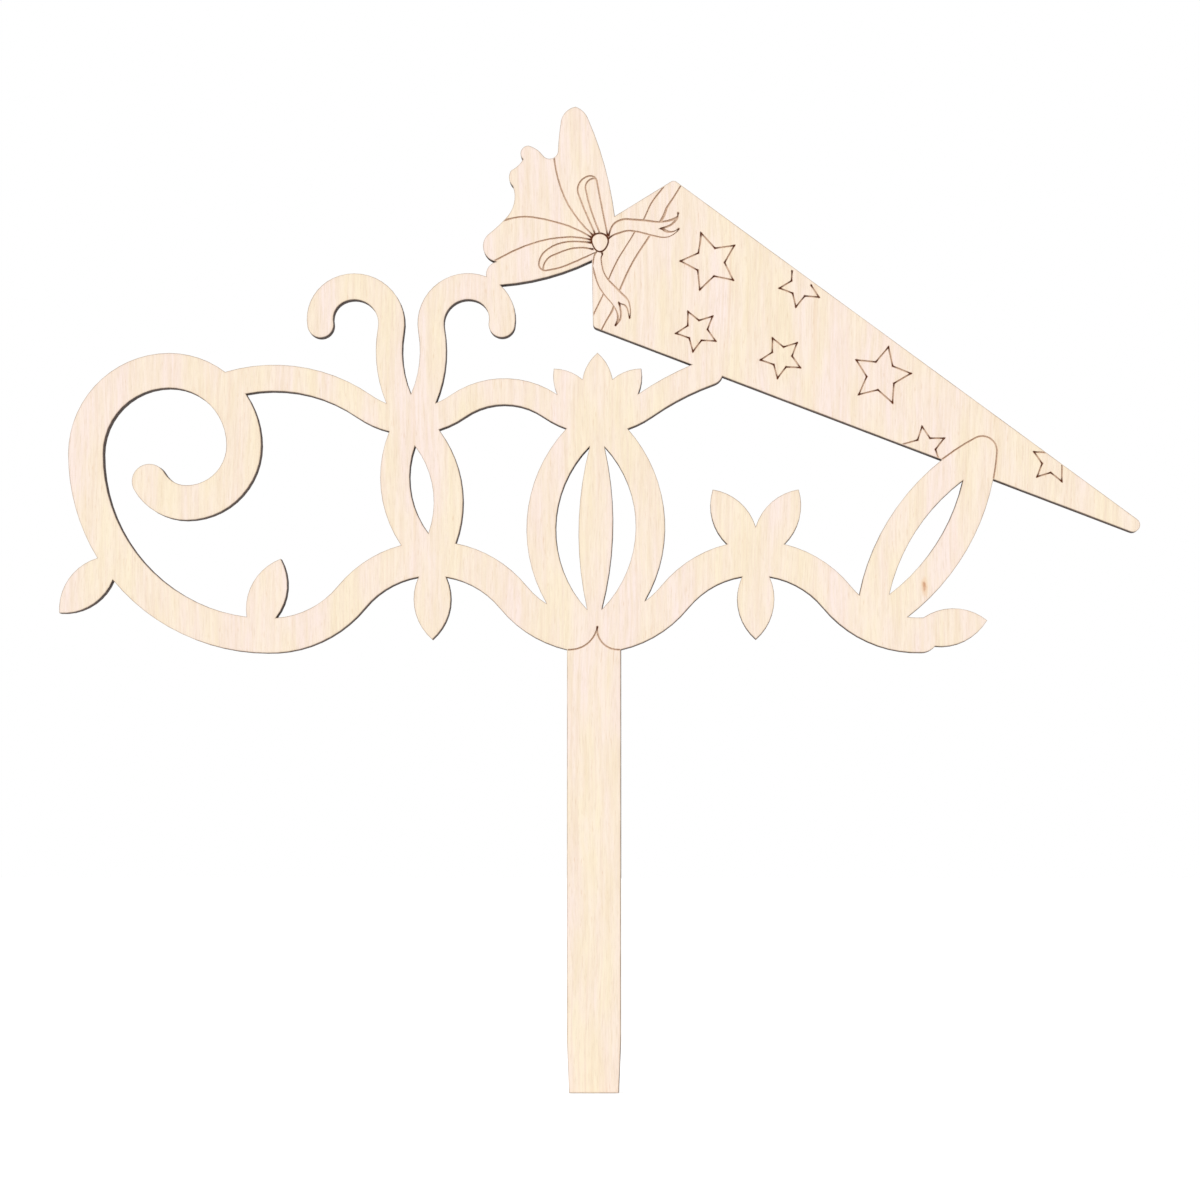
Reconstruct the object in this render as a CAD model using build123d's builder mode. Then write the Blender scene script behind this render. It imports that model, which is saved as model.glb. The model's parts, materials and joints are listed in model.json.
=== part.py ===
from build123d import *
from math import cos, radians, sin, sqrt
import os

# A laser-cut cake topper: openwork scrolls and a gift cone on one flat stake.
# Every ply of the board has the same outline. X runs to the right and Z up, the scored front
# faces -Y, and the origin is at the root of the stake, halfway through the board.

# Three-ply board
face_veneer_thickness = 0.8
core_veneer_thickness = 1.4

# Stake
stake_length = 61.0
stake_width = 7.5
stake_nose_length = 7.2
stake_nose_width = 6.9

# Lower vine, a wave along the base line that ends in a leaf on the right
vine_width = 4.9
vine_height = 15.6
vine_half_wave = 22.5
vine_end_reach = 45.5

# Fern, the large volute that the lower vine runs into on the left
fern_base_radius = 25.4
fern_radius_shares = (1, 0.457, 0.413, 0.315, 0.236)
fern_turns = (-90, -90, -90, -90, -60)

# Upper vine, a wave from the shoulder of the fern to the underside of the cone
upper_vine_width = 3.7
upper_vine_level = 34.4
upper_vine_slope = 35
upper_half_wave = 13.0
upper_trough_x = 0.5
upper_vine_start_share = 0.45
upper_vine_end_share = 0.2

# Lyre, a pair of scrolls on the left trough of the upper vine
lyre_width = 3.7
lyre_start_angle = 55
lyre_stem_radius = 17.0
lyre_stem_turn = 45
lyre_volute_radius = 5.2
lyre_volute_shares = (1, 0.86)
lyre_volute_turns = (-125, -75)

# Petals, open loops between two arcs
petal_width = 4.1
bud_petal_bulge = 7.6
side_petal_bulge = 3.6
tall_petal_bulge = 3.7
tall_petal_base_share = 0.45
tall_petal_tip_share = 0.645
tall_petal_overlap = 3.2

# Leaves, solid and pointed
leaf_length = 11.3
leaf_bulge = 2.6
leaf_fan_angle = 40
sprout_angles = (58, 122)
fern_leaf_angles = (70, 225)
fern_leaf_shares = (0.05, 0.62)
end_leaf_share = 0.85
end_leaf_angle = 10
crown_leaf_length = 9.5
crown_leaf_bulge = 2.2
bud_leaf_bulge = 2.4

# Cone, drawn in behind its mouth to a collar
cone_mouth_x = 5.5
cone_mouth_z = 55.7
cone_angle = -28.7
cone_mouth_width = 23.5
cone_apex_reach = 86.5
cone_collar_depth = 6.7
cone_tip_radius = 1.0
cone_corner_radius = 0.7
hem_offsets = (-0.8, 1.25)

# Stars on the cone: shares of its length and half width, turn, and whether large
star_large_radius = 4.1
star_small_radius = 2.95
star_inner_share = 0.5
star_shares = (
    (0.115, 0.344, 34, True),
    (0.262, 0.605, 41, False),
    (0.150, -0.447, 43, False),
    (0.290, -0.245, 43, False),
    (0.445, 0.131, 4, True),
    (0.562, -0.372, 26, False),
    (0.753, 0.198, 7, False),
)

# Bow knot and the crepe frill behind it, in shares of the frill's height about the knot
knot_radius = 1.1
knot_setback = 4.9
knot_drop = 0.6
frill_height = 18.6
frill_start_share = (0.119, 0.06)
frill_arc_shares = (
    ((0.023, 0.599), (-0.095, 0.925)),
    ((-0.132, 0.976), (-0.187, 1.008)),
    ((-0.26, 0.97), (-0.3, 0.88)),
    ((-0.313, 0.775), (-0.32, 0.668)),
    ((-0.37, 0.618), (-0.43, 0.64)),
    ((-0.485, 0.692), (-0.54, 0.716)),
    ((-0.59, 0.69), (-0.582, 0.612)),
    ((-0.622, 0.562), (-0.67, 0.53)),
    ((-0.687, 0.48), (-0.658, 0.41)),
    ((-0.648, 0.29), (-0.715, 0.165)),
    ((-0.77, 0.11), (-0.846, 0.045)),
    ((-0.882, -0.035), (-0.781, -0.159)),
    ((-0.857, -0.235), (-0.813, -0.338)),
    ((-0.44, -0.286), (-0.067, -0.152)),
)
# Each line of the frill and bow: its leaving angle, then its points
pleat_shares = (
    (-85, ((-0.348, 0.632), (-0.272, 0.33), (-0.045, 0.035))),
    (22, ((-0.72, 0.15), (-0.51, 0.176), (-0.052, 0.017))),
    (30, ((-0.75, -0.128), (-0.463, -0.007), (-0.06, 0.005))),
)
bow_loop_shares = (
    (118, ((-0.035, 0.05), (-0.166, 0.35), (-0.092, 0.485), (-0.026, 0.442), (0.052, 0.042))),
    (172, ((-0.04, 0.466), (-0.112, 0.39), (-0.005, 0.06))),
    (
        176,
        (
            (-0.055, -0.012), (-0.25, -0.012), (-0.42, -0.086),
            (-0.461, -0.178), (-0.407, -0.226), (-0.035, -0.075),
        ),
    ),
    (88, ((-0.43, -0.216), (-0.36, -0.112), (-0.055, -0.045))),
)
# Each tail of the bow: its two edges, then its notch
bow_tail_shares = (
    (
        (85, ((0.06, 0.037), (0.2, 0.167), (0.44, 0.157), (0.595, 0.216))),
        (50, ((0.052, 0.012), (0.2, 0.09), (0.45, 0.05), (0.597, 0.097))),
        (0.47, 0.108),
    ),
    (
        (-118, ((-0.022, -0.057), (-0.045, -0.25), (0.07, -0.44), (0.115, -0.535), (0.122, -0.629))),
        (-95, ((0.015, -0.065), (0.109, -0.301), (0.22, -0.42), (0.229, -0.567))),
        (0.165, -0.45),
    ),
)

# Score lines in the front face
score_width = 0.22
score_depth = 0.2
score_margin = 0.45
root_cleft = (0.5, 3.7)


def heading(angle):
    """Unit vector at an angle above the X axis."""
    return Vector(cos(radians(angle)), sin(radians(angle)))


def bent_path(start, tangent, radii, turns):
    """Centre line of tangent arcs with these radii; a positive turn is to the left."""
    arcs = []
    with BuildLine():
        for radius, turn in zip(radii, turns):
            arcs.append(JernArc(start, tangent, radius, turn))
            start = arcs[-1] @ 1
            tangent = arcs[-1] % 1
    return arcs


def tangent_path(points, angle):
    """Centre line of tangent arcs through these points, leaving the first at an angle."""
    arcs = []
    tangent = heading(angle)
    with BuildLine():
        for start, end in zip(points, points[1:]):
            arcs.append(TangentArc(start, end, tangent=tangent))
            tangent = arcs[-1] % 1
    return arcs


def beside(arc, share, reach):
    """Point at a share of an arc, moved to its left by the reach."""
    return arc @ share + (arc % share).rotate(Axis.Z, 90) * reach


def side_arc(arc, reach):
    """Arc at an even distance to the left of another."""
    return ThreePointArc([beside(arc, share, reach) for share in (0, 0.5, 1)])


def pen_stroke(path, width):
    """Round-ended stroke of even width along a path of tangent arcs."""
    half = width / 2
    with BuildSketch() as stroke:
        with BuildLine():
            for arc in path:
                side_arc(arc, half)
                side_arc(arc, -half)
            for arc, share, nose in ((path[0], 0, -half), (path[-1], 1, half)):
                tip = arc @ share + (arc % share) * nose
                ThreePointArc(beside(arc, share, half), tip, beside(arc, share, -half))
        make_face()
    return stroke.sketch


def score_stroke(path):
    """Square-ended score line along a path of tangent arcs."""
    half = score_width / 2
    with BuildSketch() as stroke:
        with BuildLine():
            for arc in path:
                side_arc(arc, half)
                side_arc(arc, -half)
            for arc, share in ((path[0], 0), (path[-1], 1)):
                Line(beside(arc, share, half), beside(arc, share, -half))
        make_face()
    return stroke.sketch


def score_polyline(*points):
    """Score line along straight runs."""
    with BuildSketch() as stroke:
        with BuildLine():
            Polyline(*points)
        trace(line_width=score_width)
    return stroke.sketch


def crossing(line, host):
    """Part of a score line that lies on a host face."""
    with BuildSketch() as scored:
        add(line)
        add(host, mode=Mode.INTERSECT)
    return scored.sketch


def lens(base, tip, left_bulge, right_bulge):
    """Pointed leaf shape between two arcs from base to tip."""
    with BuildSketch() as blade:
        with BuildLine():
            SagittaArc(base, tip, -left_bulge)
            SagittaArc(base, tip, right_bulge)
        make_face()
    return blade.sketch


def petal(base, tip, bulge):
    """Open loop of two strokes from base to tip."""
    with BuildLine():
        sides = [SagittaArc(base, tip, sag) for sag in (bulge, -bulge)]
    return [pen_stroke([side], petal_width) for side in sides]


def petal_score(base, tip, bulge):
    """Score line round the outside of a petal."""
    shape = lens(base, tip, bulge, bulge)
    with BuildSketch() as ring:
        add(offset(shape, petal_width / 2 + score_width / 2, mode=Mode.PRIVATE))
        add(offset(shape, petal_width / 2 - score_width / 2, mode=Mode.PRIVATE), mode=Mode.SUBTRACT)
    return ring.sketch


def star(place, radius, turn):
    """Five-pointed star."""
    corners = [
        place + heading(turn + 36 * step) * radius * (star_inner_share if step % 2 else 1)
        for step in range(10)
    ]
    with BuildSketch() as face:
        with BuildLine():
            Polyline(*corners, close=True)
        make_face()
    return face.sketch


# Stake
with BuildSketch() as stake:
    with BuildLine():
        Polyline(
            (-stake_nose_width / 2, -stake_length),
            (stake_nose_width / 2, -stake_length),
            (stake_width / 2, stake_nose_length - stake_length),
            (stake_width / 2, vine_width / 2),
            (-stake_width / 2, vine_width / 2),
            (-stake_width / 2, stake_nose_length - stake_length),
            close=True,
        )
    make_face()

# Cone
cone_axis = heading(cone_angle)
cone_across = heading(cone_angle + 90)
cone_mouth = Vector(cone_mouth_x, cone_mouth_z)
cone_apex = cone_mouth + cone_axis * cone_apex_reach
cone_low_corner = cone_mouth - cone_across * cone_mouth_width / 2
cone_high_corner = cone_mouth + cone_across * cone_mouth_width / 2
with BuildSketch() as cone:
    with BuildLine():
        Polyline(
            cone_mouth - cone_axis * cone_collar_depth,
            cone_high_corner,
            cone_apex,
            cone_low_corner,
            close=True,
        )
    make_face()
    fillet(cone.vertices().sort_by_distance(cone_apex)[0], cone_tip_radius)
    for corner in (cone_low_corner, cone_high_corner):
        fillet(cone.vertices().sort_by_distance(corner)[0], cone_corner_radius)
with BuildLine():
    cone_underside = Line(cone_low_corner, cone_apex)

# Frill
knot = cone_mouth - cone_axis * knot_setback - cone_across * knot_drop


def frill_point(shares):
    """Place given in shares of the frill's height from the knot."""
    return knot + Vector(*shares) * frill_height


with BuildSketch() as frill:
    with BuildLine():
        arc_start = frill_point(frill_start_share)
        for via, end in frill_arc_shares:
            ThreePointArc(arc_start, frill_point(via), frill_point(end))
            arc_start = frill_point(end)
        Line(arc_start, frill_point(frill_start_share))
    make_face()

# Lower vine
vine_trough = vine_width / 2
vine_crest = vine_height - vine_width / 2
vine_middle = (vine_trough + vine_crest) / 2
stake_root = Vector(0, vine_trough)
left_crest = Vector(-vine_half_wave, vine_crest)
right_crest = Vector(vine_half_wave, vine_crest)
vine_wave = tangent_path(
    (
        stake_root,
        Vector(vine_half_wave / 2, vine_middle),
        Vector(vine_half_wave * 3 / 2, vine_middle),
        Vector(vine_end_reach, vine_trough),
    ),
    0,
)
right_vine = pen_stroke(vine_wave, vine_width)
left_vine = mirror(right_vine, about=Plane.YZ)

# Fern
fern_arcs = bent_path(
    Vector(-vine_end_reach, vine_trough),
    heading(180),
    [share * fern_base_radius for share in fern_radius_shares],
    fern_turns,
)

# Upper vine
upper_points = [
    Vector(upper_trough_x + (step + 1 / 2) * upper_half_wave, upper_vine_level)
    for step in (-3, -2, -1, 0)
]
upper_end = cone_underside @ upper_vine_end_share
upper_wave = tangent_path(upper_points + [upper_end], -upper_vine_slope)
upper_lead = tangent_path(
    (upper_points[0], fern_arcs[2] @ upper_vine_start_share), 180 - upper_vine_slope
)
left_trough = upper_wave[0] @ 0.5
middle_trough = upper_wave[2] @ 0.5

# Lyre, one arm of it
lyre_arcs = bent_path(
    left_trough,
    heading(lyre_start_angle),
    [lyre_stem_radius] + [share * lyre_volute_radius for share in lyre_volute_shares],
    (lyre_stem_turn,) + lyre_volute_turns,
)
lyre_arm = pen_stroke(lyre_arcs, lyre_width)

# Petals: base, tip and bulge
tall_petal_tip = cone_underside @ tall_petal_tip_share + cone_across * tall_petal_overlap
bud_petal = (stake_root, middle_trough, bud_petal_bulge)
side_petal = (left_crest, left_trough, side_petal_bulge)
tall_petal = (vine_wave[-1] @ tall_petal_base_share, tall_petal_tip, tall_petal_bulge)

# Leaves: one under each crest, one at the right end, a sprout, and two on the fern
leaf_stems = [(left_crest, -90), (right_crest, -90), (vine_wave[-1] @ end_leaf_share, end_leaf_angle)]
leaf_stems += [(right_crest, angle) for angle in sprout_angles]
leaf_stems += [
    (fern_arcs[0] @ share, angle) for share, angle in zip(fern_leaf_shares, fern_leaf_angles)
]

# Outline of the whole board
strokes = [
    pen_stroke(fern_arcs, vine_width),
    pen_stroke(upper_lead, upper_vine_width),
    pen_stroke(upper_wave, upper_vine_width),
    lens(stake_root, middle_trough, bud_leaf_bulge, bud_leaf_bulge),
]
for base, tip, bulge in (bud_petal, side_petal, tall_petal):
    strokes += petal(base, tip, bulge)
for base, angle in leaf_stems:
    strokes.append(lens(base, base + heading(angle) * leaf_length, leaf_bulge, leaf_bulge))
for turn in (-leaf_fan_angle, 0, leaf_fan_angle):
    crown_tip = middle_trough + heading(90 + turn) * crown_leaf_length
    strokes.append(lens(middle_trough, crown_tip, crown_leaf_bulge, crown_leaf_bulge))
with BuildSketch() as outline:
    add(stake.sketch)
    add(cone.sketch)
    add(frill.sketch)
    add(left_vine)
    add(right_vine)
    add(lyre_arm)
    mirror(lyre_arm, about=Plane.YZ.offset(left_trough.X))
    for stroke in strokes:
        add(stroke)

# Score lines on the cone, frill and bow, kept clear of the edge
tails = []
bow_lines = []
for angle, shares in pleat_shares + bow_loop_shares:
    bow_lines.append(score_stroke(tangent_path([frill_point(share) for share in shares], angle)))
for left_edge, right_edge, notch_share in bow_tail_shares:
    rims = []
    for angle, shares in (left_edge, right_edge):
        rims.append(tangent_path([frill_point(share) for share in shares], angle))
        bow_lines.append(score_stroke(rims[-1]))
    notch = (rims[0][-1] @ 1, frill_point(notch_share), rims[1][-1] @ 1)
    bow_lines.append(score_polyline(*notch))
    with BuildSketch() as bow_tail:
        with BuildLine():
            add(rims[0] + rims[1])
            Polyline(*notch)
            Line(rims[0][0] @ 0, rims[1][0] @ 0)
        make_face()
    tails.append(bow_tail.sketch)

star_edge_share = star_inner_share * sin(radians(36)) / sqrt(
    1 + star_inner_share**2 - 2 * star_inner_share * cos(radians(36))
)
star_line_reach = score_width / 2 / star_edge_share
with BuildSketch() as inset_figure:
    add(cone.sketch)
    add(frill.sketch)
    offset(amount=-score_margin)
with BuildSketch() as figure_scores:
    for hem_offset in hem_offsets:
        hem_middle = cone_mouth + cone_axis * hem_offset
        hem_reach = cone_across * cone_mouth_width
        add(score_polyline(hem_middle - hem_reach, hem_middle + hem_reach))
    for tail in tails:
        add(tail, mode=Mode.SUBTRACT)
    for line in bow_lines:
        add(line)
    with Locations(knot):
        Circle(knot_radius + score_width / 2)
        Circle(knot_radius - score_width / 2, mode=Mode.SUBTRACT)
    for along_share, across_share, turn, is_large in star_shares:
        place = cone_mouth + cone_axis * along_share * cone_apex_reach
        place += cone_across * across_share * cone_mouth_width / 2
        radius = star_large_radius if is_large else star_small_radius
        add(star(place, radius + star_line_reach, turn))
        add(star(place, radius - star_line_reach, turn), mode=Mode.SUBTRACT)
    add(inset_figure.sketch, mode=Mode.INTERSECT)

# Score lines where one form crosses another: the cleft vine on the stake and the tall petal on the cone
with BuildSketch() as inset_cone:
    add(cone.sketch)
    offset(amount=-score_margin)
crossings = [crossing(petal_score(*tall_petal), inset_cone.sketch)]
for side, angle in ((-1, 0), (1, 180)):
    lobe_start = Vector(side * (stake_width / 2 - score_margin), score_margin)
    crossings.append(score_stroke(tangent_path((lobe_start, Vector(*root_cleft)), angle)))

# All score lines
with BuildSketch() as score_lines:
    add(figure_scores.sketch)
    for line in crossings:
        add(line)

# Plies, from the rear face to the front
os.makedirs("parts", exist_ok=True)
core_rear = -core_veneer_thickness / 2
core_front = core_veneer_thickness / 2

with BuildPart() as rear_veneer:
    with BuildSketch(Plane.XZ.offset(core_rear - face_veneer_thickness)):
        add(outline.sketch)
    extrude(amount=face_veneer_thickness)
rear_veneer.part.label = "rear_veneer"
export_step(rear_veneer.part, "parts/rear_veneer.step")

with BuildPart() as core_veneer:
    with BuildSketch(Plane.XZ.offset(core_rear)):
        add(outline.sketch)
    extrude(amount=core_veneer_thickness)
core_veneer.part.label = "core_veneer"
export_step(core_veneer.part, "parts/core_veneer.step")

with BuildPart() as front_veneer:
    with BuildSketch(Plane.XZ.offset(core_front)):
        add(outline.sketch)
    extrude(amount=face_veneer_thickness)
    with BuildSketch(Plane.XZ.offset(core_front + face_veneer_thickness)):
        add(score_lines.sketch)
    extrude(amount=-score_depth, mode=Mode.SUBTRACT)
front_veneer.part.label = "front_veneer"
export_step(front_veneer.part, "parts/front_veneer.step")
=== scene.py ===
"""Cake topper: the looks of a laser-cut and scored three-ply board, built round its CAD frame."""

import json
import math

import bmesh
import bpy
import numpy as np
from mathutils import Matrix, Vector, geometry, kdtree

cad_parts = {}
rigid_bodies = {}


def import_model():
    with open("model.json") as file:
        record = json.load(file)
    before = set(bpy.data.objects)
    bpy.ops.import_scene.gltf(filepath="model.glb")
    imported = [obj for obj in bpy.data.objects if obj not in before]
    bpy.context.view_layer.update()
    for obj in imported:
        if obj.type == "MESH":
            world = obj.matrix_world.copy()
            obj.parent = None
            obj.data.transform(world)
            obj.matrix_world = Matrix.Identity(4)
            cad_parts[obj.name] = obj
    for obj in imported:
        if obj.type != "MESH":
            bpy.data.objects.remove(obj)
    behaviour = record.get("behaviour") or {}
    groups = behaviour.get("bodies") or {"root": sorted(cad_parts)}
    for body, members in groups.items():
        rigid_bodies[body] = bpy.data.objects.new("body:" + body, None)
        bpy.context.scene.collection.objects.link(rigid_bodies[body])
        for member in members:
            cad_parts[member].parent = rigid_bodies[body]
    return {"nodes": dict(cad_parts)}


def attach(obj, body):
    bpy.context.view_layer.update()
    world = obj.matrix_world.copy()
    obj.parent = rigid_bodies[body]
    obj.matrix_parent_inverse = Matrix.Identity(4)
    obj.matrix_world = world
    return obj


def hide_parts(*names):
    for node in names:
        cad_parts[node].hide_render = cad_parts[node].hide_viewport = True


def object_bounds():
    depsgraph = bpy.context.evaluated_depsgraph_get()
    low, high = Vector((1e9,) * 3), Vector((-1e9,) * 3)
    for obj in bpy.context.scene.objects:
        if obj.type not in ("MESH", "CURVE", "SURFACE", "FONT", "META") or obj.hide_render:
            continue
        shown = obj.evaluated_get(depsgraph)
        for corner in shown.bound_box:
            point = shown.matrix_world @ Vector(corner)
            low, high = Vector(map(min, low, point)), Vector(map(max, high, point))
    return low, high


for leftover in list(bpy.data.objects):
    bpy.data.objects.remove(leftover)
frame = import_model()
cad_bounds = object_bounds()

# Lengths are in mm and turned into metres by this
MM = 0.001

# Photograph: where it was taken from and what it takes in
camera_at = (15.6, -740.0, -24.0)
camera_aim = (0.85, -1.5, 7.35)
view_width = 166.8
sensor_width = 36.0
clip_near = 1.0

# Board edges
weld_gap = 0.001
level_digits = 3
arris = 0.05
arris_steps = ((0.0, 1.0), (0.3, 0.3), (1.0, 0.0))
glue_vee = 0.045
kerf_taper = 0.02
wall_step = 0.5
score_step = 0.25
sharp_edge = 42.0
miter_floor = 0.3

# Face mesh: rings of points along the cuts and a loose grid of equal triangles between them
ring_insets = (0.16, 0.45)
ring_keep_share = 0.85
grid_pitch = 1.5
grid_rise_share = math.sqrt(0.75)
grid_clear = 0.8
fill_tolerance = 1e-6
far_away = 9.0
no_points = np.zeros((0, 2))

# Score lines: where the beam dwelt, at corners of straight lines, at tips, where lines crowd and
# round the bow's knot
score_width = 0.22
corner_turn = 35.0
corner_run = 0.9
tip_turn = 100.0
tip_span = 0.3
tip_points = 3
crowd_reach = 0.55
crowd_count = 4
ring_roundness = 0.03
ring_relief = 0.18

# Score lines that stop at the margin run out to the edge, but for one star's, which stop short
score_margin = 0.45
margin_slack = 0.02
end_gap_limit = 0.9
run_out_gap = 0.05
run_out_limit = 2.5
run_out_step = 0.03
end_width_limit = 0.7
short_star_span = (21.0, 32.0)

# Bow and hem: how far their score lines are pulled, right and up, at places on the board, to lie as
# photographed. The pulls act in full as far as the first length from a place and fade out by the second
pull_near = 2.0
pull_far = 3.6
upper_tail_pulls = (
    ((3.60, 58.75), (0.00, -0.40)),
    ((4.50, 60.75), (0.00, -0.10)),
    ((6.40, 59.05), (-0.75, -0.40)),
    ((7.40, 60.60), (-0.40, -0.25)),
    ((8.50, 58.70), (-0.75, -0.45)),
    ((9.50, 60.45), (-0.30, -0.35)),
    ((9.65, 59.55), (-0.25, -0.35)),
    ((10.10, 58.30), (-0.15, -0.35)),
    ((10.15, 60.00), (0.50, -0.35)),
    ((10.20, 60.50), (0.30, -0.25)),
    ((10.25, 59.45), (-0.30, -0.70)),
    ((10.75, 60.70), (0.70, -0.05)),
    ((10.90, 59.40), (-0.15, -0.75)),
    ((11.35, 58.65), (0.00, -0.10)),
    ((11.50, 59.35), (-0.10, -0.50)),
    ((11.95, 61.55), (-0.20, -0.15)),
    ((12.00, 59.30), (-0.15, -0.15)),
)
lower_tail_pulls = (
    ((1.25, 55.20), (-0.20, 0.00)),
    ((1.90, 53.60), (-0.50, -0.15)),
    ((2.70, 52.25), (-0.65, -0.20)),
    ((4.25, 50.75), (-0.65, -0.25)),
    ((1.50, 50.00), (-0.15, 0.00)),
    ((4.90, 50.00), (-0.45, -0.30)),
    ((4.00, 49.10), (-0.45, -0.40)),
    ((4.30, 48.55), (-0.15, 0.00)),
    ((5.55, 48.50), (-0.50, -0.20)),
    ((2.80, 48.30), (-0.10, 0.05)),
    ((3.75, 48.20), (-0.05, -0.30)),
    ((4.60, 48.00), (0.00, 0.10)),
    ((5.45, 47.65), (-0.35, -0.15)),
    ((4.90, 47.50), (-0.10, -0.05)),
    ((3.55, 47.20), (0.25, -0.25)),
    ((5.15, 47.05), (-0.20, -0.35)),
    ((3.05, 46.90), (0.25, 0.00)),
    ((3.40, 46.50), (0.25, -0.20)),
    ((3.20, 45.95), (-0.15, -0.25)),
)
hem_pulls = (
    ((10.90, 63.10), (-0.12, 0.05)),
    ((8.30, 62.30), (-0.35, 0.15)),
    ((10.30, 61.90), (-0.22, 0.05)),
    ((5.30, 57.05), (-0.60, 0.05)),
    ((7.10, 56.00), (-0.65, 0.15)),
    ((4.15, 54.90), (-0.65, 0.25)),
    ((5.90, 53.80), (-0.70, 0.25)),
)
knot_pulls = (
    ((0.95, 58.70), (0.00, -0.10)),
    ((2.10, 57.50), (0.00, -0.15)),
    ((-0.25, 57.50), (-0.15, -0.05)),
    ((0.95, 56.30), (-0.10, -0.50)),
    ((-0.28, 56.67), (0.08, -0.38)),
    ((0.07, 55.92), (-0.05, -0.20)),
    ((1.11, 55.98), (0.00, -0.45)),
)
# Places that stay: on the bow's loops, at the tails' roots and at the hem's ends
unpulled_loops = ((-1.50, 59.50), (-1.50, 55.50), (1.20, 61.50), (1.10, 63.70), (0.60, 65.50))
unpulled_roots = ((2.70, 59.85), (-0.10, 54.80), (0.30, 53.00))
unpulled_hem_ends = ((9.60, 64.80), (12.05, 65.00), (0.20, 47.40), (1.05, 45.15))

# Noises below give features per mm along x, y and z, then detail and roughness. Spans are of noise, or
# of a distance in mm, shares say how strongly a layer shows, and tones are colours as on screen
noise_middle = (0.3, 0.7)

# Veneer: each layer of its figure has a noise, the span that it comes in over, its share and its tone
wood_sway = ((0.05, 0.05, 0.03), 1.0, 0.5)
sway_width = 2.2
wood_ground_tone = (254, 239, 213)
wood_figure = {
    "bands": (((0.24, 0.24, 0.045), 4.0, 0.60), (0.38, 0.62), 1.00, (254, 236, 227)),
    "grain": (((1.50, 1.50, 0.100), 4.0, 0.62), (0.42, 0.70), 0.65, (244, 224, 195)),
    "lines": (((3.20, 3.20, 0.060), 2.0, 0.50), (0.48, 0.70), 0.45, (243, 220, 201)),
    "fibre": (((6.50, 6.50, 0.450), 2.0, 0.60), (0.52, 0.80), 0.55, (228, 206, 180)),
    "flecks": (((5.00, 5.00, 0.550), 1.0, 0.50), (0.68, 0.80), 0.40, (226, 190, 154)),
    "streaks": (((0.85, 0.85, 0.010), 2.0, 0.50), (0.66, 0.76), 0.25, (240, 208, 174)),
}
wood_roughness = (0.55, 0.70)
wood_specular = 0.25
wood_relief = 0.03

# Pin knot in the front veneer: its place, half its width and height, and how far its outline wanders.
# The wander and the spans are of the squared distance from its middle, counted in those halves
pin_knot_at = (47.0, 9.1)
pin_knot_half = (0.32, 1.0)
pin_knot_ragged = ((1.6, 1.6, 0.9), 3.0, 0.6)
pin_knot_wander = (-0.7, 0.7)
pin_knot_halo_span = (0.2, 3.2)
pin_knot_halo_share = 0.5
pin_knot_halo_tone = (238, 196, 150)
pin_knot_heart_span = (-0.4, 0.9)
pin_knot_heart_share = 0.7
pin_knot_heart_tone = (194, 130, 90)

# The beam's marks on the veneer: soot and a dark rim along the cuts, a tint along the score lines and
# brown spots where it dwelt
mark_patches = ((0.35, 0.35, 0.35), 2.0, 0.5)
patch_span = (0.35, 0.65)
patch_shares = (0.55, 1.0)
front_soot_reach = 0.4
front_soot_share = 0.10
rear_soot_reach = 1.5
rear_soot_share = 0.55
soot_tone = (212, 178, 144)
rim_reach = 0.06
rim_share = 0.8
rim_tone = (150, 124, 104)
tint_reach = 0.14
tint_share = 0.25
tint_tone = (236, 190, 150)
dwell_span = (0.05, 0.30)
dwell_share = 0.75
dwell_tone = (142, 74, 24)

# Burnt edges: light and dark tones, char in ribs and clouds, small cells and the glue films
face_edge_tones = ((112, 82, 64), (52, 38, 32))
core_edge_tones = ((88, 62, 48), (38, 28, 24))
edge_ribs = ((3.2, 0.18, 3.2), 3.0, 0.6)
rib_share = 0.6
edge_clouds = ((0.16, 0.5, 0.16), 3.0, 0.6)
cloud_share = 0.4
char_span = (0.36, 0.66)
edge_cells = ((7.0, 5.0, 7.0), 2.0, 0.6)
cell_span = (0.55, 0.75)
cell_share = 0.5
cell_tone = (24, 17, 14)
glue_span = (0.03, 0.08)
glue_share = 0.9
glue_tone = (15, 10, 8)
edge_roughness = (0.62, 0.88)
edge_specular = 0.3
edge_relief = 0.08
cell_relief_share = 0.35

# Grooves of the score lines
groove_clouds = ((0.25, 0.25, 0.25), 2.0, 0.5)
groove_cloud_span = (0.35, 0.65)
groove_tones = ((214, 185, 160), (228, 203, 180))
groove_pulses = ((3.5, 3.5, 3.5), 3.0, 0.6)
pulse_span = (0.45, 0.75)
pulse_share = 0.6
pulse_tone = (188, 152, 127)
groove_dwell_span = (0.12, 0.80)
groove_dwell_share = 0.95
groove_dwell_tone = (104, 44, 4)
groove_roughness = (0.65, 0.9)
groove_specular = 0.08
groove_relief = 0.05

# Material slots of a piece
face_slot = 0
edge_slot = 1
groove_slot = 2

# Colour sockets of Blender's Mix node
mix_first = 6
mix_second = 7
mix_result = 2

# Stage
floor_gap = 0.06
floor_half = 3000.0
floor_white = 0.80
floor_lift = 0.56
world_light = 0.66
key_from = (-840.0, -1640.0, 1120.0)
key_strength = 1.36
key_angle = 33.0


def srgb(red, green, blue):
    """A colour written as it shows on screen, 0 to 255, as linear RGBA."""
    shares = [c / 255 for c in (red, green, blue)]
    linear = [c / 12.92 if c <= 0.04045 else ((c + 0.055) / 1.055) ** 2.4 for c in shares]
    return (*linear, 1.0)


# Outlines


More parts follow.
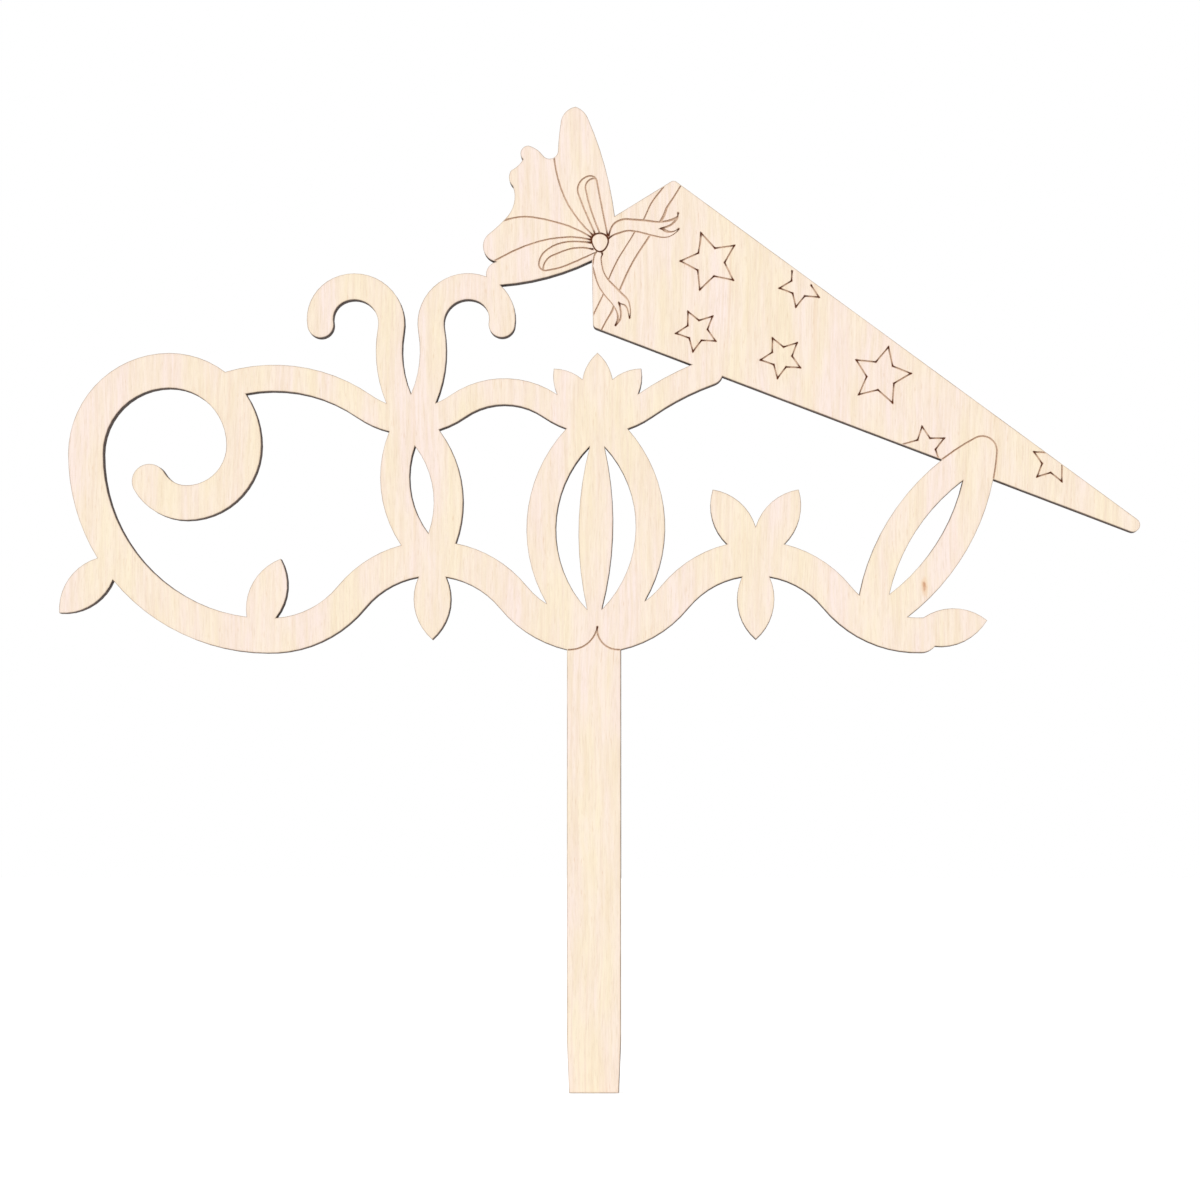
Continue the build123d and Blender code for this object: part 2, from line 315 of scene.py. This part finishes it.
def welded(name):
    """A CAD node's mesh with its split corners joined, to read outlines from."""
    joined = bmesh.new()
    joined.from_mesh(frame["nodes"][name].data)
    bmesh.ops.remove_doubles(joined, verts=joined.verts, dist=weld_gap * MM)
    return joined


def flat_loops(joined, level, from_front):
    """Closed (x, z) loops in mm round the flat faces at a level, with the wood on their left."""
    flat = [f for f in joined.faces if all(abs(v.co.y / MM - level) < weld_gap for v in f.verts)]
    inside = set(flat)
    after = {}
    for face in flat:
        for corner in face.loops:
            if not any(f in inside for f in corner.edge.link_faces if f is not face):
                after[corner.vert] = corner.link_loop_next.vert
    loops = []
    while after:
        first = next(iter(after))
        chain = [first]
        here = after.pop(first)
        while here is not first:
            chain.append(here)
            here = after.pop(here)
        loop = np.array([(v.co.x / MM, v.co.z / MM) for v in chain])
        loops.append(loop if from_front else loop[::-1])
    return loops


def divided(loop, step):
    """The loop with its long sides divided."""
    out = []
    for a, b in zip(loop, np.roll(loop, -1, axis=0)):
        count = max(1, math.ceil(np.linalg.norm(b - a) / step))
        out.append(a + (b - a) * (np.arange(count)[:, None] / count))
    return np.concatenate(out)


def inset(loop, width):
    """The loop moved into the wood, square to its sides."""
    ahead = np.roll(loop, -1, axis=0) - loop
    ahead /= np.linalg.norm(ahead, axis=1)[:, None]
    left = np.stack([-ahead[:, 1], ahead[:, 0]], axis=1)
    both = left + np.roll(left, 1, axis=0)
    stretch = np.maximum((both * left).sum(axis=1), miter_floor)
    return loop + both * (width / stretch)[:, None]


def runs(loop):
    """The length of the loop's side after each point."""
    return np.linalg.norm(np.roll(loop, -1, axis=0) - loop, axis=1)


def turns(loop):
    """How far the loop turns to the left at each point, in degrees."""
    ahead = np.roll(loop, -1, axis=0) - loop
    heading = np.arctan2(ahead[:, 1], ahead[:, 0])
    turn = heading - np.roll(heading, 1)
    return np.degrees((turn + math.pi) % (2 * math.pi) - math.pi)


def turned_nearby(loop):
    """How far the loop turns to the left within a short span round each point, in degrees."""
    turn = turns(loop)
    total = turn.copy()
    for way in (1, -1):
        along = np.zeros(len(loop))
        for step in range(1, tip_points + 1):
            nearer = np.roll(loop, way - way * step, axis=0)
            further = np.roll(loop, -way * step, axis=0)
            along += np.linalg.norm(further - nearer, axis=1)
            total += np.where(along < tip_span, np.roll(turn, -way * step), 0)
    return total


def square_ends(loop):
    """Which points are the two corners at the end of a line."""
    turn = turns(loop)
    ends = (turn > corner_turn) & (np.roll(turn, -1) > corner_turn) & (runs(loop) < end_width_limit)
    return ends | np.roll(ends, 1)


def run_out(loop, outline, rim):
    """The score loop with its ends at the margin drawn out along their lines, almost to the rim."""
    beside_star = (loop[:, 0] < short_star_span[0]) | (loop[:, 0] > short_star_span[1])
    gap = gaps(outline, loop)
    stopped = (gap < score_margin + margin_slack) | (square_ends(loop) & (gap < end_gap_limit))
    stopped &= beside_star
    if not stopped.any() or stopped.all():
        return loop
    first = int(np.argmin(stopped))
    loop = np.roll(loop, -first, axis=0)
    stopped = np.roll(stopped, -first)
    out = []
    index = 0
    while index < len(loop):
        if not stopped[index]:
            out.append(loop[index])
            index += 1
            continue
        past = index
        while past < len(loop) and stopped[past]:
            past += 1
        out += drawn_end(loop[index - 1], loop[index:past], loop[past % len(loop)], rim)
        index = past
    return np.array(out)


def drawn_end(before, end, after, rim):
    """One end of a score line drawn out to the rim, or as it was where it runs along the rim."""
    ways = []
    for inner, corner in ((before, end[0]), (after, end[-1])):
        ahead = (corner - inner) / np.linalg.norm(corner - inner)
        places = corner + ahead * np.arange(0, run_out_limit, run_out_step)[:, None]
        too_far = gaps(rim, places) < run_out_gap
        if not too_far.any():
            return list(end)
        ways.append(places[: max(np.argmax(too_far), 1)])
    first, last = ways
    while min(len(first), len(last)) > 1:
        across = divided(np.array([first[-1], last[-1]]), run_out_step)
        if gaps(rim, across).min() > run_out_gap:
            return [first[-1], last[-1]]
        first = first[:-1]
        last = last[:-1]
    return list(end)


def apart(points, places):
    """Distance from each point to each place."""
    return np.linalg.norm(points[:, None] - places[None], axis=2)


def bending(points, places):
    """How far a thin plate bends at each point for a push at each place."""
    reach = apart(points, places)
    return reach**2 * np.log(np.maximum(reach, weld_gap))


def curled(points):
    """The points of score lines moved by the pulls, as a thin plate carries them, near the pulls."""
    pulled = upper_tail_pulls + lower_tail_pulls + hem_pulls + knot_pulls
    unpulled = unpulled_loops + unpulled_roots + unpulled_hem_ends
    places = np.array([place for place, pull in pulled] + list(unpulled))
    pulls = np.array([pull for place, pull in pulled] + [(0, 0)] * len(unpulled))
    tilt = np.column_stack([np.ones(len(places)), places])
    plate = np.block([[bending(places, places), tilt], [tilt.T, np.zeros((3, 3))]])
    weights = np.linalg.solve(plate, np.vstack([pulls, np.zeros((3, 2))]))
    moves = np.column_stack([bending(points, places), np.ones(len(points)), points]) @ weights
    nearest = apart(points, places).min(axis=1)
    share = np.clip((pull_far - nearest) / (pull_far - pull_near), 0, 1)
    share = share**2 * (3 - 2 * share)
    return points + moves * share[:, None]


def is_ring(loop):
    """Whether a loop is a circle."""
    reach = np.linalg.norm(loop - loop.mean(axis=0), axis=1)
    return np.ptp(reach) < ring_roundness * reach.mean()


def dwell_spots(scores):
    """Places on the score lines where the beam slowed down or came back."""
    spots = []
    meetings = []
    for loop in scores:
        turn = turns(loop)
        run = runs(loop)
        shorter = np.minimum(run, np.roll(run, 1))
        tips = (turned_nearby(loop) > tip_turn) & (turn > corner_turn)
        slowed = tips | ((turn > corner_turn) & (shorter > corner_run))
        spots.append(inset(loop, score_width / 2)[slowed])
        meetings.append(loop[turn < -corner_turn])
    meetings = np.concatenate(meetings)
    crowded = (apart(meetings, meetings) < crowd_reach).sum(axis=1) > crowd_count
    return np.concatenate([*spots, meetings[crowded]])


def tree_of(points):
    """A search tree over flat points."""
    tree = kdtree.KDTree(len(points))
    for index, (x, z) in enumerate(points):
        tree.insert((x, z, 0), index)
    tree.balance()
    return tree


def gaps(loops, points):
    """Distance from each point to the nearest side of the loops."""
    if not len(loops):
        return np.full(len(points), far_away)
    here = np.concatenate(loops)
    before = np.concatenate([np.roll(loop, 1, axis=0) for loop in loops])
    after = np.concatenate([np.roll(loop, -1, axis=0) for loop in loops])
    tree = tree_of(here)
    near = np.array([tree.find((x, z, 0))[1] for x, z in points])
    best = np.full(len(points), far_away)
    for start, end in ((before, here), (here, after)):
        a = start[near]
        side = end[near] - a
        share = ((points - a) * side).sum(axis=1) / (side * side).sum(axis=1)
        foot = a + side * np.clip(share, 0, 1)[:, None]
        best = np.minimum(best, np.linalg.norm(points - foot, axis=1))
    return best


def spot_gaps(spots, points):
    """Distance from each point to the nearest of the spots."""
    tree = tree_of(spots)
    return np.minimum([tree.find((x, z, 0))[2] for x, z in points], far_away)


def dwell_gaps(scores, outline, points):
    """Distance from each point to the nearest dwell spot; the ring of the knot counts as near one."""
    if not scores:
        return np.full(len(points), far_away)
    spots = dwell_spots(scores)
    spots = curled(spots[gaps(outline, spots) > score_margin])
    rings = [curled(loop) for loop in scores if is_ring(loop)]
    return np.minimum(spot_gaps(spots, points), gaps(rings, points) + ring_relief)


def within(loops, points):
    """Which of the points lie in the wood."""
    inside = np.zeros(len(points), dtype=bool)
    x, z = points[:, 0], points[:, 1]
    for loop in loops:
        for (ax, az), (bx, bz) in zip(loop, np.roll(loop, -1, axis=0)):
            if az != bz:
                crossing = (az > z) != (bz > z)
                inside ^= crossing & (x < ax + (z - az) / (bz - az) * (bx - ax))
    return inside


def spread(loops):
    """Points that carry the marks along the cuts and fill the face between them."""
    rows = []
    for width in ring_insets:
        row = np.concatenate([inset(loop, width) for loop in loops])
        rows.append(row[gaps(loops, row) > width * ring_keep_share])
    everything = np.concatenate(loops)
    low, high = everything.min(axis=0), everything.max(axis=0)
    columns = np.arange(low[0], high[0], grid_pitch)
    grid = []
    for step, level in enumerate(np.arange(low[1], high[1], grid_pitch * grid_rise_share)):
        shift = grid_pitch / 2 if step % 2 else 0
        grid.append(np.stack([columns + shift, np.full(len(columns), level)], axis=1))
    grid = np.concatenate(grid)
    grid = grid[within(loops, grid)]
    rows.append(grid[gaps(loops, grid) > grid_clear])
    return np.concatenate(rows)


def rings_of(loops, first):
    """The point numbers of each loop, where the loops' points follow one another from the first."""
    rings = []
    for loop in loops:
        rings.append(list(range(first, first + len(loop))))
        first += len(loop)
    return rings


def sides_of(ring):
    """The pairs of point numbers along a closed ring."""
    return list(zip(ring, ring[1:] + ring[:1]))


def filled(loops, extra):
    """Points and triangles that fill the area on the left of the loops."""
    points = np.concatenate([*loops, extra])
    sides = [side for ring in rings_of(loops, 0) for side in sides_of(ring)]
    corners = [Vector(p) for p in points]
    found = geometry.delaunay_2d_cdt(corners, sides, [], 0, fill_tolerance, False)
    if len(found[0]) != len(points):
        raise ValueError(f"the fill made {len(found[0])} points of {len(points)}")
    triangles = []
    for a, b, c in found[2]:
        (ax, az), (bx, bz), (cx, cz) = points[a], points[b], points[c]
        turned = (bx - ax) * (cz - az) - (bz - az) * (cx - ax) < 0
        triangles.append((a, c, b) if turned else (a, b, c))
    owner = {}
    for index, triangle in enumerate(triangles):
        for side in sides_of(triangle):
            owner[side] = index
    walls = set(sides) | {(b, a) for a, b in sides}
    stack = [owner[side] for side in sides]
    kept = set(stack)
    while stack:
        for near, far in sides_of(triangles[stack.pop()]):
            other = owner.get((far, near))
            if (near, far) not in walls and other is not None and other not in kept:
                kept.add(other)
                stack.append(other)
    return points, [triangles[index] for index in sorted(kept)]


# Pieces


class Skin:
    """Points, faces and marks of one piece, gathered before its mesh is made."""

    def __init__(self):
        self.points = []
        self.faces = []
        self.slots = []
        self.marks = {"edge_gap": [], "score_gap": [], "dwell_gap": []}

    def add_points(self, flat, level, edge_gap, score_gap, dwell_gap):
        """Adds points at a level and returns the number of the first one."""
        first = len(self.points)
        self.points += [(x * MM, level * MM, z * MM) for x, z in flat]
        for key, gap in (("edge_gap", edge_gap), ("score_gap", score_gap), ("dwell_gap", dwell_gap)):
            self.marks[key] += list(np.broadcast_to(gap, len(flat)))
        return first

    def add_faces(self, faces, slot):
        """Adds faces that take a material slot."""
        self.faces += faces
        self.slots += [slot] * len(faces)

    def add_wall(self, front_ring, rear_ring, slot):
        """A band of faces between two rings, the wood on the left of their run seen from the front."""
        pairs = zip(sides_of(front_ring), sides_of(rear_ring))
        self.add_faces([(a, c, d, b) for (a, b), (c, d) in pairs], slot)

    def finish(self, name, node, materials):
        """Makes the object, drops points that nothing uses, and hands it to the frame."""
        mesh = bpy.data.meshes.new(name)
        mesh.from_pydata(self.points, [], self.faces)
        mesh.polygons.foreach_set("material_index", self.slots)
        for key, values in self.marks.items():
            carried = mesh.attributes.new(key, "FLOAT", "POINT")
            carried.data.foreach_set("value", values)
        trimmed = bmesh.new()
        trimmed.from_mesh(mesh)
        loose = [v for v in trimmed.verts if not v.link_faces]
        bmesh.ops.delete(trimmed, geom=loose, context="VERTS")
        trimmed.to_mesh(mesh)
        trimmed.free()
        mesh.shade_smooth()
        mesh.set_sharp_from_angle(angle=math.radians(sharp_edge))
        for material in materials:
            mesh.materials.append(material)
        piece = bpy.data.objects.new(name, mesh)
        bpy.context.scene.collection.objects.link(piece)
        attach(piece, "root")
        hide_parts(node)


def cut_back(level, front, rear):
    """How far the beam has cut the edge back at a level: it narrows on its way through."""
    return kerf_taper * (rear - level) / (rear - front)


def side_rows(front, rear, front_rounded, rear_rounded):
    """The (level, inset) steps down the side of a ply, without the beam's taper."""
    rows = []
    if front_rounded:
        rows += [(front + arris * down, arris * back) for down, back in arris_steps]
    else:
        rows += [(front, glue_vee), (front + glue_vee, 0.0)]
    if rear_rounded:
        rows += [(rear - arris * down, arris * back) for down, back in reversed(arris_steps)]
    else:
        rows += [(rear - glue_vee, 0.0), (rear, glue_vee)]
    return rows


def face_of(skin, rim, level, seen, outline, scores, grooves):
    """A face's points added to a skin: the rings of its rim and grooves, and faces that look forward."""
    loops = rim + [loop[::-1] for loop in grooves]
    points, triangles = filled(loops, spread(loops) if seen else no_points)
    marks = (gaps(rim, points), gaps(grooves, points), dwell_gaps(scores, outline, points))
    first = skin.add_points(points, level, *marks)
    faces = [tuple(first + corner for corner in triangle) for triangle in triangles]
    return rings_of(loops, first), faces


def add_grooves(skin, openings, level, outline, scores, grooves):
    """The floors of the score lines, and their sides up to the openings in the face."""
    points, triangles = filled(grooves, no_points)
    first = skin.add_points(points, level, far_away, 0.0, dwell_gaps(scores, outline, points))
    skin.add_faces([tuple(first + corner for corner in triangle) for triangle in triangles], groove_slot)
    for opening, bottom in zip(openings, rings_of(grooves, first)):
        skin.add_wall(opening, bottom[::-1], groove_slot)


def ply(name, node, outline, levels, board, materials, scores=(), score_floor=None):
    """One ply: a filled face each side, the burnt edge between them and any score lines."""
    front, rear = levels
    front_seen = front == board[0]
    rear_seen = rear == board[1]
    grooves = [curled(divided(loop, score_step)) for loop in scores]
    skin = Skin()
    edge = []
    for level, back in side_rows(front, rear, front_seen, rear_seen):
        rim = [inset(loop, back + cut_back(level, *board)) for loop in outline]
        if level == front:
            rings, faces = face_of(skin, rim, level, front_seen, outline, scores, grooves)
            skin.add_faces(faces, face_slot)
            openings = rings[len(outline):]
        elif level == rear:
            rings, faces = face_of(skin, rim, level, rear_seen, outline, (), [])
            skin.add_faces([face[::-1] for face in faces], face_slot)
        else:
            first = skin.add_points(np.concatenate(rim), level, 0.0, far_away, far_away)
            rings = rings_of(rim, first)
        edge.append(rings[:len(outline)])

    for step, (front_rings, rear_rings) in enumerate(zip(edge, edge[1:])):
        on_front_arris = front_seen and step < len(arris_steps) - 1
        on_rear_arris = rear_seen and step >= len(edge) - len(arris_steps)
        band_slot = face_slot if on_front_arris or on_rear_arris else edge_slot
        for front_ring, rear_ring in zip(front_rings, rear_rings):
            skin.add_wall(front_ring, rear_ring, band_slot)
    if scores:
        add_grooves(skin, openings, score_floor, outline, scores, grooves)
    skin.finish(name, node, materials)


# Materials


def node(tree, kind, inputs=None, **settings):
    """A shader node with its settings made and its inputs linked or filled in."""
    made = tree.nodes.new("ShaderNode" + kind)
    for key, value in settings.items():
        setattr(made, key, value)
    for key, value in (inputs or {}).items():
        socket = made.inputs[key]
        if isinstance(value, bpy.types.NodeSocket):
            tree.links.new(value, socket)
        else:
            socket.default_value = value
    return made


def mix(tree, share, first, second):
    """The first colour turning into the second by a share."""
    made = node(tree, "Mix", {0: share, mix_first: first, mix_second: second}, data_type="RGBA")
    return made.outputs[mix_result]


def ranged(tree, value, span, ends, smooth=False):
    """A value moved from one span to between two ends, and kept there."""
    kind = "SMOOTHSTEP" if smooth else "LINEAR"
    limits = dict(zip(("From Min", "From Max", "To Min", "To Max"), (*span, *ends)))
    return node(tree, "MapRange", {"Value": value, **limits}, interpolation_type=kind).outputs["Result"]


def math_node(tree, operation, first, second=0.0):
    """The result of a sum on one or two numbers."""
    return node(tree, "Math", {0: first, 1: second}, operation=operation).outputs[0]


def noise(tree, coords, per_mm, detail, roughness):
    """Noise with its own number of features per mm along x, y and z."""
    scale = tuple(n / MM for n in per_mm)
    placed = node(tree, "Mapping", {"Vector": coords, "Scale": scale})
    wanted = {"Vector": placed.outputs[0], "Scale": 1.0, "Detail": detail, "Roughness": roughness}
    return node(tree, "TexNoise", wanted).outputs["Fac"]


def mark(tree, name):
    """A distance in mm that the mesh carries."""
    return node(tree, "Attribute", attribute_name=name).outputs["Fac"]


def shaded(name):
    """An empty material, its tree, its shader and the coordinates of the board."""
    made = bpy.data.materials.new(name)
    made.use_nodes = True
    tree = made.node_tree
    coords = node(tree, "TexCoord").outputs["Object"]
    return made, tree, tree.nodes["Principled BSDF"], coords


def finished(tree, shader, tone, rough, specular, height, relief):
    """A shader given its colour, roughness, gloss and a relief of a depth in mm."""
    tree.links.new(tone, shader.inputs["Base Color"])
    tree.links.new(rough, shader.inputs["Roughness"])
    shader.inputs["Specular IOR Level"].default_value = specular
    bump = node(tree, "Bump", {"Height": height, "Distance": relief * MM})
    tree.links.new(bump.outputs[0], shader.inputs["Normal"])


def veneer(name, soot_reach, soot_share, with_pin_knot):
    """Pale sliced veneer with upright grain, sooty along the cuts and tinted along the scores."""
    made, tree, shader, board = shaded(name)
    sway = math_node(tree, "MULTIPLY", noise(tree, board, *wood_sway), sway_width * MM)
    aside = node(tree, "CombineXYZ", {"X": sway}).outputs[0]
    coords = node(tree, "VectorMath", {0: board, 1: aside}, operation="ADD").outputs[0]

    tone = srgb(*wood_ground_tone)
    figure = {}
    for layer, (layer_noise, span, share, layer_tone) in wood_figure.items():
        figure[layer] = noise(tree, coords, *layer_noise)
        tone = mix(tree, ranged(tree, figure[layer], span, (0, share)), tone, srgb(*layer_tone))
    if with_pin_knot:
        tone = pin_knotted(tree, tone, coords)
    tone = beam_marked(tree, tone, board, soot_reach, soot_share)

    rough = ranged(tree, figure["grain"], noise_middle, wood_roughness)
    height = math_node(tree, "ADD", figure["grain"], figure["fibre"])
    finished(tree, shader, tone, rough, wood_specular, height, wood_relief)
    return made


def pin_knotted(tree, tone, coords):
    """The tone with a small brown pin knot in it."""
    parts = node(tree, "SeparateXYZ", {0: coords})
    squares = []
    for axis, middle, half in zip(("X", "Z"), pin_knot_at, pin_knot_half):
        off = math_node(tree, "SUBTRACT", parts.outputs[axis], middle * MM)
        share = math_node(tree, "DIVIDE", off, half * MM)
        squares.append(math_node(tree, "MULTIPLY", share, share))
    ragged = ranged(tree, noise(tree, coords, *pin_knot_ragged), noise_middle, pin_knot_wander)
    reach = math_node(tree, "ADD", math_node(tree, "ADD", *squares), ragged)
    halo = ranged(tree, reach, pin_knot_halo_span, (pin_knot_halo_share, 0), True)
    tone = mix(tree, halo, tone, srgb(*pin_knot_halo_tone))
    heart = ranged(tree, reach, pin_knot_heart_span, (pin_knot_heart_share, 0), True)
    return mix(tree, heart, tone, srgb(*pin_knot_heart_tone))


def beam_marked(tree, tone, board, soot_reach, soot_share):
    """The tone with soot, a rim and a tint in patches along the lines, and spots where the beam dwelt."""
    patches = ranged(tree, noise(tree, board, *mark_patches), patch_span, patch_shares)
    edge_gap = mark(tree, "edge_gap")
    soot = ranged(tree, edge_gap, (0, soot_reach), (soot_share, 0), True)
    tone = mix(tree, math_node(tree, "MULTIPLY", soot, patches), tone, srgb(*soot_tone))
    rim = ranged(tree, edge_gap, (0, rim_reach), (rim_share, 0))
    tone = mix(tree, math_node(tree, "MULTIPLY", rim, patches), tone, srgb(*rim_tone))
    tint = ranged(tree, mark(tree, "score_gap"), (0, tint_reach), (tint_share, 0), True)
    tone = mix(tree, math_node(tree, "MULTIPLY", tint, patches), tone, srgb(*tint_tone))
    dwell = ranged(tree, mark(tree, "dwell_gap"), dwell_span, (dwell_share, 0), True)
    return mix(tree, dwell, tone, srgb(*dwell_tone))


def burnt_edge(name, light, dark, glue_level):
    """A laser-cut edge: charred, ribbed by the beam, with a black line at each glue film."""
    made, tree, shader, board = shaded(name)
    ribs = noise(tree, board, *edge_ribs)
    clouds = noise(tree, board, *edge_clouds)
    cells = noise(tree, board, *edge_cells)
    rib_char = math_node(tree, "MULTIPLY", ribs, rib_share)
    char = math_node(tree, "ADD", rib_char, math_node(tree, "MULTIPLY", clouds, cloud_share))
    tone = mix(tree, ranged(tree, char, char_span, (0, 1)), srgb(*dark), srgb(*light))
    tone = mix(tree, ranged(tree, cells, cell_span, (0, cell_share)), tone, srgb(*cell_tone))

    depth = math_node(tree, "ABSOLUTE", node(tree, "SeparateXYZ", {0: board}).outputs["Y"])
    off = math_node(tree, "ABSOLUTE", math_node(tree, "SUBTRACT", depth, glue_level * MM))
    glue = ranged(tree, off, [gap * MM for gap in glue_span], (glue_share, 0))
    tone = mix(tree, glue, tone, srgb(*glue_tone))

    rough = ranged(tree, cells, noise_middle, edge_roughness)
    height = math_node(tree, "ADD", ribs, math_node(tree, "MULTIPLY", cells, cell_relief_share))
    finished(tree, shader, tone, rough, edge_specular, height, edge_relief)
    return made


def scored(name):
    """The floor and sides of a score line: scorched brown, darkest where the beam dwelt."""
    made, tree, shader, board = shaded(name)
    pulses = noise(tree, board, *groove_pulses)
    clouds = ranged(tree, noise(tree, board, *groove_clouds), groove_cloud_span, (0, 1))
    tone = mix(tree, clouds, *(srgb(*groove_tone) for groove_tone in groove_tones))
    tone = mix(tree, ranged(tree, pulses, pulse_span, (0, pulse_share)), tone, srgb(*pulse_tone))
    dwell = ranged(tree, mark(tree, "dwell_gap"), groove_dwell_span, (groove_dwell_share, 0), True)
    tone = mix(tree, dwell, tone, srgb(*groove_dwell_tone))
    rough = ranged(tree, pulses, noise_middle, groove_roughness)
    finished(tree, shader, tone, rough, groove_specular, pulses, groove_relief)
    return made


# Stage


def seen_directly(tree):
    """1 for what the camera sees, straight on or through gloss and glass."""
    path = node(tree, "LightPath").outputs
    either = math_node(tree, "MAXIMUM", path["Is Camera Ray"], path["Is Glossy Ray"])
    return math_node(tree, "MAXIMUM", either, path["Is Transmission Ray"])


def floor():
    """A wide white floor just under the stake's end, which keeps the shadow."""
    half = floor_half * MM
    level = cad_bounds[0][2] - floor_gap * MM
    mesh = bpy.data.meshes.new("floor")
    corners = [(-half, -half), (half, -half), (half, half), (-half, half)]
    mesh.from_pydata([(x, y, level) for x, y in corners], [], [(0, 1, 2, 3)])
    made = bpy.data.materials.new("floor_white")
    made.use_nodes = True
    tree = made.node_tree
    tree.nodes.clear()
    matt = node(tree, "BsdfDiffuse", {"Color": (floor_white, floor_white, floor_white, 1)})
    strength = math_node(tree, "MULTIPLY", seen_directly(tree), floor_lift)
    lift = node(tree, "Emission", {"Strength": strength})
    both = node(tree, "AddShader", {0: matt.outputs[0], 1: lift.outputs[0]})
    node(tree, "OutputMaterial", {"Surface": both.outputs[0]})
    mesh.materials.append(made)
    piece = bpy.data.objects.new("floor", mesh)
    bpy.context.scene.collection.objects.link(piece)


def world():
    """White all round: full white to the camera, softer as a light."""
    made = bpy.data.worlds.new("studio")
    made.use_nodes = True
    tree = made.node_tree
    strength = ranged(tree, seen_directly(tree), (0, 1), (world_light, 1))
    white = node(tree, "Background", {"Color": (1, 1, 1, 1), "Strength": strength})
    tree.links.new(white.outputs[0], tree.nodes["World Output"].inputs[0])
    bpy.context.scene.world = made


def key_light():
    """One large soft light from the front, above and the left, even over the whole board."""
    lamp = bpy.data.lights.new("key", "SUN")
    lamp.energy = key_strength
    lamp.angle = math.radians(key_angle)
    piece = bpy.data.objects.new("key", lamp)
    piece.location = Vector(key_from) * MM
    piece.rotation_euler = (-Vector(key_from)).to_track_quat("-Z", "Y").to_euler()
    bpy.context.scene.collection.objects.link(piece)


def camera():
    """The photograph's camera."""
    lens = bpy.data.cameras.new("camera")
    away = Vector(camera_aim) - Vector(camera_at)
    lens.sensor_width = sensor_width
    lens.lens = sensor_width * away.length / view_width
    lens.clip_start = clip_near * MM
    piece = bpy.data.objects.new("camera", lens)
    piece.location = Vector(camera_at) * MM
    piece.rotation_euler = away.to_track_quat("-Z", "Y").to_euler()
    bpy.context.scene.collection.objects.link(piece)
    bpy.context.scene.camera = piece


# The topper


def levels_of(name):
    """The levels, in mm, that a CAD node's flat faces lie at, front first."""
    return sorted({round(v.co.y / MM, level_digits) for v in frame["nodes"][name].data.vertices})


def topper():
    """The three plies, all cut to one outline."""
    front, score_floor, front_glue = levels_of("front_veneer")
    rear_glue, rear = levels_of("rear_veneer")
    board = (front, rear)
    joined = welded("front_veneer")
    outline = [divided(loop, wall_step) for loop in flat_loops(joined, front_glue, False)]
    rim = [inset(loop, arris + kerf_taper) for loop in outline]
    scores = [run_out(loop, outline, rim) for loop in flat_loops(joined, score_floor, True)]
    joined.free()

    glue_level = (rear_glue - front_glue) / 2
    face_edge = burnt_edge("face_veneer_edge", *face_edge_tones, glue_level)
    core_edge = burnt_edge("core_veneer_edge", *core_edge_tones, glue_level)
    front_wood = veneer("front_veneer_wood", front_soot_reach, front_soot_share, True)
    rear_wood = veneer("rear_veneer_wood", rear_soot_reach, rear_soot_share, False)
    ply(
        "front_veneer_cut", "front_veneer", outline, (front, front_glue), board,
        (front_wood, face_edge, scored("score_line")), scores, score_floor,
    )
    ply(
        "core_veneer_cut", "core_veneer", outline, (front_glue, rear_glue), board,
        (core_edge, core_edge),
    )
    ply(
        "rear_veneer_cut", "rear_veneer", outline, (rear_glue, rear), board,
        (rear_wood, face_edge),
    )


topper()
floor()
world()
key_light()
camera()
bpy.context.scene.view_settings.view_transform = "Standard"
